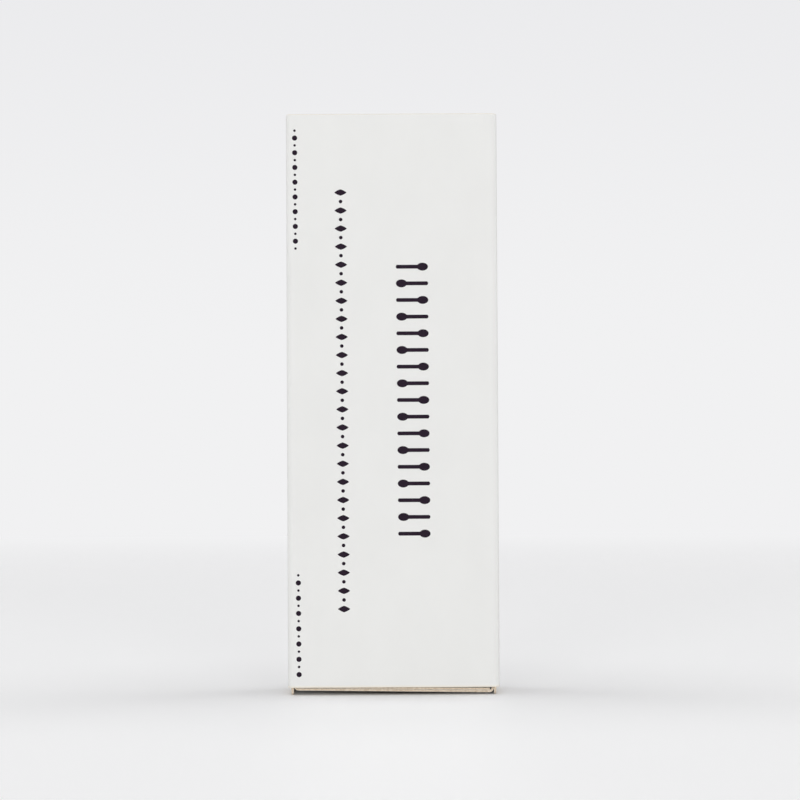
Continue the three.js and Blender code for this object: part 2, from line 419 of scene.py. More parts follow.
class Painter:
    """Builds the nodes of one material or world."""

    def __init__(self, name: str, store: bpy.types.bpy_prop_collection | None = None) -> None:
        """Starts with no nodes.

        Args:
            name: The name of the material or world.
            store: Where Blender keeps the worlds, or None for a material.
        """
        self.owner = (bpy.data.materials if store is None else store).new(name)
        self.owner.use_nodes = True
        self.tree = self.owner.node_tree
        self.tree.nodes.clear()

    def node(self, kind: str, settings: dict[str, object], inputs: dict[object, object]) -> bpy.types.Node:
        """Adds a node.

        Args:
            kind: The node's type.
            settings: Its own settings, set first.
            inputs: Its sockets by name or number, each with a value, a socket or a signal.

        Returns:
            The node.
        """
        made = self.tree.nodes.new(kind)
        for setting, value in settings.items():
            setattr(made, setting, value)
        for key, value in inputs.items():
            source = value.socket if isinstance(value, Signal) else value
            if isinstance(source, bpy.types.NodeSocket):
                self.tree.links.new(source, made.inputs[key])
            else:
                made.inputs[key].default_value = source
        return made

    def place(self) -> bpy.types.NodeSocket:
        """The place on the piece, in metres, from its own origin."""
        return self.node("ShaderNodeTexCoord", {}, {}).outputs["Object"]

    def axes(self) -> tuple[Signal, Signal, Signal]:
        """The place on the piece as three signals, in millimetres."""
        scaled = self.stretched((1 / MM, 1 / MM, 1 / MM))
        parts = self.node("ShaderNodeSeparateXYZ", {}, {0: scaled})
        return tuple(Signal(self, parts.outputs[k]) for k in range(3))

    def stretched(self, scale: tuple[float, float, float]) -> bpy.types.NodeSocket:
        """The place on the piece times a scale for each axis."""
        settings = {"operation": "MULTIPLY"}
        return self.node("ShaderNodeVectorMath", settings, {0: self.place(), 1: scale}).outputs[0]

    def noise(self, grain: Grain) -> Signal:
        """Soft noise between 0 and 1.

        Args:
            grain: Its blobs and layers.

        Returns:
            The noise.
        """
        place = self.stretched(tuple(1 / (size * MM) for size in grain.size))
        inputs = {"Vector": place, "Scale": 1.0, "Detail": grain.detail, "Roughness": grain.rough}
        return Signal(self, self.node("ShaderNodeTexNoise", {}, inputs).outputs["Fac"])

    def mixed(self, share: Signal, plain: object, other: object) -> bpy.types.NodeSocket:
        """A colour between two: plain where the share is 0 and the other where it is 1."""
        settings = {"data_type": "RGBA", "blend_type": "MIX", "clamp_factor": True}
        return self.node("ShaderNodeMix", settings, {0: share, 6: plain, 7: other}).outputs[2]

    def surfaced(
        self, colour: bpy.types.NodeSocket, rough: Signal, relief: Signal, height: float, shine: float = 0.5
    ) -> bpy.types.Material:
        """Ends the material in one shader with a bump.

        Args:
            colour: The colour.
            rough: The roughness.
            relief: The bump's height signal.
            height: The bump's height in metres where the relief is 1.
            shine: The specular level.

        Returns:
            The finished material.
        """
        inputs = {"Base Color": colour, "Roughness": rough, "Specular IOR Level": shine}
        shader = self.node("ShaderNodeBsdfPrincipled", {}, inputs)
        bump = self.node("ShaderNodeBump", {}, {"Strength": 1.0, "Distance": height, "Height": relief})
        self.tree.links.new(bump.outputs[0], shader.inputs["Normal"])
        self.node("ShaderNodeOutputMaterial", {}, {"Surface": shader.outputs[0]})
        return self.owner


@dataclass(frozen=True)
class CoatedCard:
    """White folding board with a matt clay coating: faint cloudiness, and a fine tooth that breaks the sheen.

    Close to the cut ends the white is a little worn. Each wear is the two heights, in millimetres, between
    which it goes or comes.
    """

    white: Colour = srgb(234, 234, 232)
    cloud: Colour = srgb(232, 232, 230)
    worn: Colour = srgb(240, 232, 215)
    clouds: Grain = Grain((9, 9, 14), 3.0)
    clouded: Pair = (0.3, 0.75)
    foot_wear: Pair = (1.45, 1.95)
    top_wear: Pair = (109.7, 109.95)
    worn_least: float = 0.35
    worn_more: float = 0.6
    roughness: float = 0.56
    sheen: float = 0.06
    tooth: float = 0.004 * MM

    def material(self) -> bpy.types.Material:
        """The coated face."""
        painter = Painter("coated_card")
        clouds = painter.noise(self.clouds)
        tooth = painter.noise(COAT_TOOTH)
        _, _, z = painter.axes()
        near_end = 1 - z.step(*self.foot_wear) * (1 - z.step(*self.top_wear))
        colour = painter.mixed(clouds.step(*self.clouded), self.white, self.cloud)
        colour = painter.mixed(near_end * (self.worn_least + self.worn_more * tooth), colour, self.worn)
        rough = self.roughness + self.sheen * (tooth - 0.5)
        return painter.surfaced(colour, rough, tooth, self.tooth)


@dataclass(frozen=True)
class BareCard:
    """The uncoated side of the board: grey cream, with longer and darker fibres pressed into it."""

    cream: Colour = srgb(222, 214, 201)
    fibre: Colour = srgb(205, 195, 179)
    speck: Colour = srgb(176, 161, 140)
    felt: Grain = Grain((0.5, 0.5, 1.7), 5.0, 0.62)
    strands: Grain = Grain((0.22, 0.22, 2.4))
    specks: Grain = Grain((0.35, 0.35, 0.35), 1.0)
    felted: Pair = (0.36, 0.72)
    specked: Pair = (0.68, 0.76)
    speck_share: float = 0.6
    roughness: float = 0.82
    sheen: float = 0.1
    felt_relief: float = 0.6
    strand_relief: float = 0.4
    depth: float = 0.012 * MM

    def material(self) -> bpy.types.Material:
        """The uncoated face."""
        painter = Painter("bare_card")
        felt, strands, specks = (painter.noise(grain) for grain in (self.felt, self.strands, self.specks))
        ground = painter.mixed(felt.step(*self.felted), self.cream, self.fibre)
        colour = painter.mixed(self.speck_share * specks.step(*self.specked), ground, self.speck)
        rough = self.roughness + self.sheen * (felt - 0.5)
        return painter.surfaced(colour, rough, self.felt_relief * felt + self.strand_relief * strands, self.depth)


@dataclass(frozen=True)
class CutEdge:
    """The raw edge of the board, where the knife has opened its beige middle layers."""

    beige: Colour = srgb(234, 219, 198)
    dark: Colour = srgb(204, 182, 156)
    layers: Grain = Grain((0.45, 0.1, 0.45), 4.0, 0.6)
    fuzz: Grain = Grain((0.09, 0.09, 0.09), 3.0, 0.7)
    layered: Pair = (0.35, 0.7)
    roughness: float = 0.86
    sheen: float = 0.08
    depth: float = 0.03 * MM

    def material(self) -> bpy.types.Material:
        """The cut edge."""
        painter = Painter("cut_edge")
        layers, fuzz = painter.noise(self.layers), painter.noise(self.fuzz)
        colour = painter.mixed(layers.step(*self.layered), self.beige, self.dark)
        rough = self.roughness + self.sheen * fuzz
        return painter.surfaced(colour, rough, fuzz, self.depth)


@dataclass(frozen=True)
class StrikingCoat:
    """The striking coat: a dark gritty layer laid on in staggered round dots that nearly touch."""

    ground: Colour = srgb(92, 74, 67)
    dot: Colour = srgb(66, 50, 46)
    grit: Colour = srgb(128, 106, 95)
    pitch: float = 0.62
    dot_edge: Pair = (0.3, 0.44)
    grains: Grain = Grain((0.12, 0.12, 0.12), 3.0, 0.7)
    rubs: Grain = Grain((3, 3, 11), 3.0)
    rub: float = 0.25
    gritty: Pair = (0.6, 0.74)
    grit_share: float = 0.5
    roughness: float = 0.9
    sheen: float = 0.12
    dot_relief: float = 0.55
    depth: float = 0.05 * MM

    def material(self) -> bpy.types.Material:
        """The striking surface. A point's distance to the nearest dot is the lesser of two square lattices'."""
        painter = Painter("striking_coat")
        _, y, z = painter.axes()
        tall = math.sqrt(3)

        def lattice(shift: float) -> Signal:
            """The distance to the nearest dot of one lattice, over the pitch."""
            across = (y / self.pitch + shift).fraction() - 0.5
            along = ((z / (self.pitch * tall) + shift).fraction() - 0.5) * tall
            return (across * across + along * along) ** 0.5

        near = lattice(0.0).least(lattice(0.5))
        dots = 1 - near.step(*self.dot_edge)
        grains, rubbed = painter.noise(self.grains), painter.noise(self.rubs)
        base = painter.mixed(dots * (1 - self.rub + self.rub * rubbed), self.ground, self.dot)
        colour = painter.mixed(self.grit_share * grains.step(*self.gritty), base, self.grit)
        rough = self.roughness - self.sheen * grains
        return painter.surfaced(colour, rough, self.dot_relief * dots + (1 - self.dot_relief) * grains, self.depth)


@dataclass(frozen=True)
class MatchWood:
    """Split aspen: pale, with fine straight grain along the stick and faint darker streaks."""

    pale: Colour = srgb(240, 226, 199)
    streak: Colour = srgb(222, 197, 158)
    pore: Colour = srgb(194, 163, 120)
    grain: Grain = Grain((0.32, 0.32, 15), 4.0, 0.6)
    pores: Grain = Grain((0.09, 0.09, 2.6))
    blocks: Grain = Grain((3.5, 3.5, 400), 0.0)  # the blocks that the sticks were split from
    streaked: Pair = (0.38, 0.7)
    warm: Pair = (0.35, 0.65)
    porous: Pair = (0.64, 0.74)
    streak_share: float = 0.55
    block_share: float = 0.35
    pore_share: float = 0.5
    roughness: float = 0.72
    sheen: float = 0.12
    depth: float = 0.025 * MM

    def material(self) -> bpy.types.Material:
        """The stick's wood, with its grain along the box."""
        painter = Painter("match_wood")
        grain, pores, blocks = (painter.noise(grain) for grain in (self.grain, self.pores, self.blocks))
        warmth = self.streak_share * grain.step(*self.streaked) + self.block_share * blocks.step(*self.warm)
        colour = painter.mixed(warmth, self.pale, self.streak)
        colour = painter.mixed(self.pore_share * pores.step(*self.porous), colour, self.pore)
        rough = self.roughness + self.sheen * grain
        return painter.surfaced(colour, rough, grain - self.pore_share * pores, self.depth)


@dataclass(frozen=True)
class MatchHead:
    """The dipped head: a dull brown-red composition, gritty, with paler chalky grains."""

    body: Colour = srgb(124, 58, 46)
    shade: Colour = srgb(98, 42, 35)
    grain: Colour = srgb(160, 96, 82)
    lumps: Grain = Grain((0.55, 0.55, 0.55), 3.0, 0.55)
    grit: Grain = Grain((0.14, 0.14, 0.14), 2.0, 0.7)
    lumpy: Pair = (0.35, 0.7)
    gritty: Pair = (0.62, 0.74)
    grain_share: float = 0.6
    roughness: float = 0.62
    sheen: float = 0.2
    relief: float = 0.5
    depth: float = 0.06 * MM

    def material(self) -> bpy.types.Material:
        """The head's composition."""
        painter = Painter("match_head")
        lumps, grit = painter.noise(self.lumps), painter.noise(self.grit)
        colour = painter.mixed(lumps.step(*self.lumpy), self.body, self.shade)
        colour = painter.mixed(self.grain_share * grit.step(*self.gritty), colour, self.grain)
        rough = self.roughness + self.sheen * grit
        return painter.surfaced(colour, rough, self.relief * lumps + self.relief * grit, self.depth)


@dataclass(frozen=True)
class PrintingInk:
    """Dark aubergine ink, printed solid and a little uneven, with the card's tooth showing through."""

    ink: Colour = srgb(30, 16, 32)
    thin: Colour = srgb(48, 33, 48)
    thinned: Pair = (0.5, 0.72)
    shine: float = 0.2
    roughness: float = 0.5
    sheen: float = 0.1
    tooth: float = 0.003 * MM

    def material(self) -> bpy.types.Material:
        """The ink film."""
        painter = Painter("printing_ink")
        tooth = painter.noise(COAT_TOOTH)
        colour = painter.mixed(tooth.step(*self.thinned), self.ink, self.thin)
        rough = self.roughness + self.sheen * tooth
        return painter.surfaced(colour, rough, tooth, self.tooth, self.shine)


@dataclass(frozen=True)
class StudioPaper:
    """The pale paper sweep that the box stands on, matt with a trace of sheen.

    For the camera alone, a painted glow lightens the paper a little near the box, and its shadows with it, but not
    right at its foot, where the shade is left dark. Far away the camera sees one even pale tone, with painted
    shade that darkens it higher up the wall. The box's shadow lies in the light that the paper returns, and the
    painted glow is added over it, so the shadow stays there. Each painted glow is an amount and the two distances
    from the box, in millimetres, between which it comes in.
    """

    paper: Colour = srgb(240, 240, 241)
    # painted glow: light added for the camera alone, none right at the box's foot, more further out
    foot_painted_glow: tuple[float, float, float] = (0.11, 4, 36)
    near_painted_glow: tuple[float, float, float] = (0.06, 26, 110)
    even_from: Pair = (300, 1300)
    even: Colour = srgb(241, 241, 242)
    # painted shade: the even tone is darker high up the wall, where the light falls off
    even_painted_shade_top: Colour = srgb(235, 235, 237)
    high: Pair = (120, 620)
    pulp: Grain = Grain((90, 90, 90))
    roughness: float = 0.5
    sheen: float = 0.04

    def material(self) -> bpy.types.Material:
        """The sweep's paper."""
        painter = Painter("studio_paper")
        sheen = self.roughness + self.sheen * (painter.noise(self.pulp) - 0.5)
        x, y, z = painter.axes()
        away = (x * x + y * y + z * z) ** 0.5
        # painted glow: each comes in with the distance from the box, and the camera alone sees it
        painted_glows = [amount * away.step(*span) for amount, *span in (self.foot_painted_glow, self.near_painted_glow)]
        seen = Signal(painter, painter.node("ShaderNodeLightPath", {}, {}).outputs["Is Camera Ray"])
        painted_glow = (painted_glows[0] + painted_glows[1]) * seen
        inputs = {"Base Color": self.paper, "Roughness": sheen, "Emission Color": painted_glow, "Emission Strength": 1.0}
        paper = painter.node("ShaderNodeBsdfPrincipled", {}, inputs)
        # painted shade: the camera's even tone darkens between these heights
        tone = painter.mixed(z.step(*self.high), self.even, self.even_painted_shade_top)
        even = painter.node("ShaderNodeEmission", {}, {"Color": tone, "Strength": 1.0})
        share = seen * away.step(*self.even_from)
        both = painter.node("ShaderNodeMixShader", {}, {0: share, 1: paper.outputs[0], 2: even.outputs[0]})
        painter.node("ShaderNodeOutputMaterial", {}, {"Surface": both.outputs[0]})
        return painter.owner


def add_piece(
    name: str,
    surface: Surface,
    finishes: list[bpy.types.Material],
    body: str,
    replaces: tuple[str, ...] = (),
) -> bpy.types.Object:
    """Puts a surface into the scene as a piece of the box.

    Args:
        name: The piece's name.
        surface: Its points, faces and zones. A face's zone picks its finish.
        finishes: The materials, in the zones' order.
        body: The moving body that it rides on.
        replaces: The frame's nodes that it stands for.

    Returns:
        The piece.
    """
    mesh = bpy.data.meshes.new(name)
    mesh.from_pydata(surface.points.tolist(), [], surface.faces)
    for finish in finishes:
        mesh.materials.append(finish)
    zones = np.minimum(surface.zones, len(finishes) - 1).astype(np.int32)
    mesh.polygons.foreach_set("material_index", zones)
    mesh.shade_smooth()
    mesh.set_sharp_from_angle(angle=SHARP_EDGE)
    mesh.update()
    piece = new_object(name, mesh)
    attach(piece, body)
    if replaces:
        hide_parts(*replaces)
    log.info("%s: %d faces on %s", name, len(surface.faces), body)
    return piece


@dataclass
class Sleeve:
    """The outer sleeve: one strip of board, folded round the tray and glued along a flap inside its back."""

    board: float = 0.45 * MM
    fold_outside: float = 1.15 * MM
    flap: float = 12 * MM
    seam_gap: float = 0.2 * MM
    glue_line: float = 0.02 * MM
    broad_bow: float = 0.08 * MM
    narrow_bow: float = 0.04 * MM
    sink: float = 0.1 * MM
    roll_length: float = 0.7 * MM
    top_roll: float = 0.16 * MM
    foot_roll: float = 0.05 * MM
    edge_wander: float = 0.02 * MM
    crown: float = 0.02 * MM
    dent_depth: float = 0.17 * MM
    dent_size: float = 0.9 * MM
    narrow_panels: tuple[int, int] = (1, 3)
    end_waves: Pair = (17 * MM, 23 * MM)  # of the cut ends, at the top and at the foot
    seam_roll: Pair = (0.35 * MM, 0.1 * MM)  # length and depth, at the strip's two raw edges
    inner_roll: Pair = (0.3 * MM, 0.06 * MM)  # length and depth, inside the cut ends
    dent_drop: float = 0.4 * MM  # from the top to the dent's middle
    dent_tall: float = 1.6
    dent_push: tuple[float, float, float] = (-0.35, 0.85, -0.3)

    def __post_init__(self) -> None:
        """Takes the sleeve's place from the frame."""
        low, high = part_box("sleeve")
        self.low, self.high = np.array(low), np.array(high)
        self.fold = self.fold_outside - self.board / 2

    def line(self) -> FoldedLine:
        """The strip's middle line, from the back panel's raw edge round the box to the flap's raw edge."""
        half = self.board / 2
        left, front = self.low[:2] + half + np.array([0, self.sink])
        right, back = self.high[:2] - half - np.array([0, self.sink])
        flap_y = back - self.board - self.glue_line
        seam_x = self.low[0] + self.fold_outside + self.seam_gap
        flap_x = self.low[0] + self.flap
        corners = [(seam_x, back), (right, back), (right, front), (left, front), (left, flap_y), (flap_x, flap_y)]
        return FoldedLine.through(corners, self.fold, 22)

    def bulge(self, bow: np.ndarray | float, share: np.ndarray, z: np.ndarray) -> np.ndarray:
        """How far a panel bows out: the bow times a half sine across the panel and one along the box."""
        along = (z - self.low[2]) / (self.high[2] - self.low[2])
        return bow * np.sin(math.pi * share) * np.sin(math.pi * np.clip(along, 0, 1))

    def front(self, x: np.ndarray, z: np.ndarray) -> np.ndarray:
        """The y of the front panel's outside face at a place on it.

        Args:
            x, z: The place, in metres.

        Returns:
            The y of the face there.
        """
        left = self.low[0] + self.fold_outside
        share = np.clip((x - left) / (self.high[0] - self.fold_outside - left), 0, 1)
        return self.low[1] + self.sink - self.bulge(self.broad_bow, share, z)

    def side(self, sign: int, y: np.ndarray, z: np.ndarray) -> np.ndarray:
        """The x of a narrow panel's outside face.

        Args:
            sign: -1 for the left panel and 1 for the right.
            y, z: The place on it, in metres.

        Returns:
            The x of the face there.
        """
        near = self.low[1] + self.fold_outside
        share = np.clip((y - near) / (self.high[1] - self.fold_outside - near), 0, 1)
        return sign * (self.high[0] + self.bulge(self.narrow_bow, share, z))

    def surface(self) -> Surface:
        """The folded board.

        A point is the middle line plus its outward direction times half the board, plus the panel's bow. Near
        the cut ends the faces roll in, and the front right corner at the top is pushed in by a round dent.
        """
        draw = np.random.default_rng(SEED)
        line = self.line()
        run = line.run()[:, None]
        level = eased(96)[None, :]
        slack = self.edge_wander + self.crown
        top = self.high[2] - slack + self.edge_wander * wander(run, self.end_waves[0], draw)
        foot = self.low[2] + self.crown + self.edge_wander * wander(run, self.end_waves[1], draw)
        z = foot + (top - foot) * level
        bow = np.where(np.isin(line.panel, self.narrow_panels), self.narrow_bow, self.broad_bow)
        bulge = np.where(line.panel[:, None] >= 0, self.bulge(bow[:, None], line.share[:, None], z), 0)
        to_end = np.minimum(run, run[-1] - run)
        pressed = rolled(to_end, *self.seam_roll)
        outside = self.board / 2 + bulge - rolled(top - z, self.roll_length, self.top_roll) - pressed
        outside = outside - rolled(z - foot, self.roll_length, self.foot_roll)
        inside = -self.board / 2 + bulge + rolled(np.minimum(z - foot, top - z), *self.inner_roll)

        def face(offset: np.ndarray) -> np.ndarray:
            """The face at an offset from the middle line, with the corner's dent."""
            flat = line.points[:, None, :] + line.outward[:, None, :] * offset[..., None]
            return self.dented(np.concatenate([flat, z[..., None]], axis=-1))

        return board(face(outside), face(inside), self.crown)

    def dented(self, points: np.ndarray) -> np.ndarray:
        """Points with the top right corner pressed in, by a bell curve of the distance to it."""
        corner = np.array([self.high[0], self.low[1], self.high[2] - self.dent_drop])
        away = np.linalg.norm((points - corner) / np.array([1, 1, self.dent_tall]), axis=-1, keepdims=True)
        push = self.dent_depth * np.exp(-((away / self.dent_size) ** 2))
        return points + push * np.array(self.dent_push)

    def build(self, outside: bpy.types.Material, inside: bpy.types.Material, cut: bpy.types.Material) -> None:
        """Makes the sleeve in place of the frame's."""
        add_piece("card_sleeve", self.surface(), [outside, inside, cut], "sleeve", ("sleeve",))


@dataclass
class StrikingStrip:
    """One striking strip, a thin coat on a narrow panel of the sleeve."""

    sleeve: Sleeve
    sign: int
    coat: float = 0.06 * MM
    ragged: float = 0.06 * MM
    feather: float = 0.25 * MM
    sunk: float = 0.02 * MM
    edge_share: float = 0.25  # of the coat, left at its edge
    end_waves: Pair = (2.4 * MM, 2.9 * MM)  # of the ragged lower and upper end
    side_waves: Pair = (2.7 * MM, 3.3 * MM)  # of the ragged near and far side

    def surface(self, node: str) -> Surface:
        """The coat's surface: the panel's face plus the coat's thickness, which feathers out at its edges.

        Args:
            node: The frame's strip, which gives the place.

        Returns:
            The closed coat.
        """
        draw = np.random.default_rng(SEED + self.sign)
        low, high = (np.array(corner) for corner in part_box(node))
        row, column = eased(44)[:, None], eased(150)[None, :]
        across = low[1] + row * (high[1] - low[1])
        near_z = low[2] + self.ragged * wander(across, self.end_waves[0], draw)
        far_z = high[2] + self.ragged * wander(across, self.end_waves[1], draw)
        z = near_z + (far_z - near_z) * column
        near_y = low[1] + self.ragged * wander(z, self.side_waves[0], draw)
        far_y = high[1] + self.ragged * wander(z, self.side_waves[1], draw)
        y = near_y + (far_y - near_y) * row
        to_edge = np.minimum(np.minimum(y - near_y, far_y - y), np.minimum(z - near_z, far_z - z))
        height = self.coat * (self.edge_share + (1 - self.edge_share) * smooth(to_edge / self.feather))
        face = self.sleeve.side(self.sign, y, z)
        outside = np.stack([face + self.sign * height, y, z], axis=-1)
        inside = np.stack([face - self.sign * self.sunk, y, z], axis=-1)
        return board(outside, inside, 0.0, 1)

    def build(self, coat: bpy.types.Material) -> None:
        """Makes the strip in place of the frame's."""
        side = "right" if self.sign > 0 else "left"
        node = f"striker_{side}"
        add_piece(f"striking_strip_{side}", self.surface(node), [coat], "sleeve", (node,))


@dataclass
class Tray:
    """The inner tray: a base, two long side walls and two end walls with tabs, folded from one sheet."""

    board: float = 0.45 * MM
    fold_outside: float = 0.9 * MM
    setback: float = 0.45 * MM
    end_low: float = 0.2 * MM
    rim_low: float = 0.2 * MM
    corner: float = 1.0 * MM
    tab: float = 10 * MM
    tab_gap: float = 0.3 * MM
    tab_taper: float = 2 * MM
    hem: float = 2.9 * MM
    hem_overlap: float = 0.15 * MM
    lean_left: float = 0.4 * MM
    lean_right: float = -0.14 * MM
    lean_power: float = 1.2
    lean_fade: float = 2.5 * MM  # the height over which the lean fades into the tray
    upper_lean: float = 0.5  # of the lower end wall's lean
    gap_steps: float = 12  # a tab has drawn in to its gap after one of so many parts of its length
    soft: float = 0.14 * MM
    thinner: float = 0.25  # of the board, taken off each face at a cut edge

    def __post_init__(self) -> None:
        """Takes the tray's place from the frame."""
        low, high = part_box("tray")
        self.low, self.high = np.array(low), np.array(high)
        self.length = self.high[2] - self.low[2]
        self.wall = self.high[0] - self.board
        self.side_fold_y = self.high[1] - self.fold_outside
        self.end_fold_z = self.setback + self.fold_outside
        self.fold = self.fold_outside - self.board / 2

    def lean(self, x: np.ndarray, y: np.ndarray) -> np.ndarray:
        """How far the lower end wall leans into the tray at a place on it, most at its rim and to the left."""
        across = (x - self.low[0]) / (self.high[0] - self.low[0])
        at_rim = self.lean_left + (self.lean_right - self.lean_left) * across
        reach = np.clip((self.side_fold_y - y) / (self.side_fold_y - self.low[1]), 0, 1)
        return at_rim * reach**self.lean_power

    def faces(self, line: FoldedLine, low: np.ndarray, high: np.ndarray, order: tuple[int, int, int]) -> Surface:
        """A stretch of the board along a folded line.

        Args:
            line: The middle line, in the plane across the stretch.
            low, high: The stretch's two edges on the third axis, at each point of the line.
            order: For x, y and z, which of the line's first, its second and the third axis's value it is.

        Returns:
            The closed stretch, a little thinner along its cut edges.
        """
        level = eased(56)[None, :]
        third = low[:, None] + (high - low)[:, None] * level
        to_edge = np.minimum(third - low[:, None], high[:, None] - third)
        half = self.board / 2 - rolled(to_edge, self.soft, self.thinner * self.board)

        def face(side: int) -> np.ndarray:
            """One face of the board: the line plus or minus half the board along its outward direction."""
            flat = line.points[:, None, :] + side * line.outward[:, None, :] * half[..., None]
            placed = np.concatenate([flat, third[..., None]], axis=-1)
            return placed[..., list(order)]

        return board(face(1), face(-1))

    def long_stretches(self) -> list[Surface]:
        """The two side walls over the whole length, and the base with its folds between the end folds."""
        half = self.board / 2
        right, base, rim = self.high[0] - half, self.high[1] - half, self.low[1] + self.rim_low
        fold_y, end = self.side_fold_y, self.end_fold_z
        left_wall = FoldedLine.through([(-right, rim), (-right, fold_y)], self.fold, 22)
        right_wall = FoldedLine.through([(right, fold_y), (right, rim)], self.fold, 22)
        turns = [(-right, fold_y), (-right, base), (right, base), (right, fold_y)]
        middle = FoldedLine.through(turns, self.fold, 20)

        def stretch(line: FoldedLine, low: float, high: float) -> Surface:
            """A stretch between two heights, with a quarter circle taken off each corner at its rim."""
            cut = rolled(line.points[:, 1] - rim, self.corner, self.corner)
            return self.faces(line, low + cut, high - cut, (0, 1, 2))

        return [
            stretch(left_wall, self.low[2], self.high[2]),
            stretch(middle, self.low[2] + end, self.high[2] - end),
            stretch(right_wall, self.low[2], self.high[2]),
        ]

    def end_stretches(self) -> list[Surface]:
        """The lower end wall: the wall with its two tabs, its fold to the base and the hem inside its rim.

        Each is placed above the height of the raw ends.
        """
        half = self.board / 2
        tab_x, wall_z = self.wall - half, self.setback + half
        tab_end = self.setback + self.tab
        ends = [(tab_x, tab_end), (tab_x, wall_z), (-tab_x, wall_z), (-tab_x, tab_end)]
        across = FoldedLine.through(ends, self.fold, 20)
        along_tab = np.clip((across.points[:, 1] - self.end_fold_z) / (tab_end - self.end_fold_z), 0, 1)
        on_tab = np.abs(across.points[:, 0]) > self.wall - self.fold_outside + 0.01 * MM
        rim = self.low[1] + self.end_low
        drawn_in = smooth(along_tab * self.gap_steps) * self.tab_gap
        low = rim + on_tab * drawn_in + self.tab_taper * along_tab
        high = self.side_fold_y - on_tab * self.tab_gap - self.tab_taper * along_tab
        wall = self.faces(across, low, high, (0, 2, 1))
        base = self.high[1] - half
        turns = [(base, self.end_fold_z), (base, wall_z), (self.side_fold_y, wall_z)]
        fold_line = FoldedLine.through(turns, self.fold, 2)
        reach = self.wall - self.fold_outside
        spread = np.full(len(fold_line.points), reach)
        fold = self.faces(fold_line, -spread, spread, (2, 0, 1))
        hem_z = wall_z + self.board
        hem_reach = reach + self.hem_overlap
        hem_line = FoldedLine.through([(hem_reach, hem_z), (-hem_reach, hem_z)], self.fold, 20)
        start = np.full(len(hem_line.points), rim)
        hem = self.faces(hem_line, start, start + self.hem, (0, 2, 1))
        return [wall, fold, hem]

    def surface(self) -> Surface:
        """The whole tray. The lower end wall leans in as lean() says, and the upper one mirrors a part of it."""
        parts = self.long_stretches()
        for upper in (False, True):
            for part in self.end_stretches():
                x, y, z = part.points.T
                near_wall = 1 - smooth((z - 2 * self.setback) / self.lean_fade)
                leant = z + self.lean(x, y) * near_wall * (self.upper_lean if upper else 1)
                part.points[:, 2] = self.high[2] - leant if upper else self.low[2] + leant
                parts.append(part.outward())
        return Surface.joined(parts)

    def build(self, outside: bpy.types.Material, inside: bpy.types.Material, cut: bpy.types.Material) -> None:
        """Makes the tray in place of the frame's."""
        add_piece("card_tray", self.surface(), [outside, inside, cut], "tray", ("tray",))


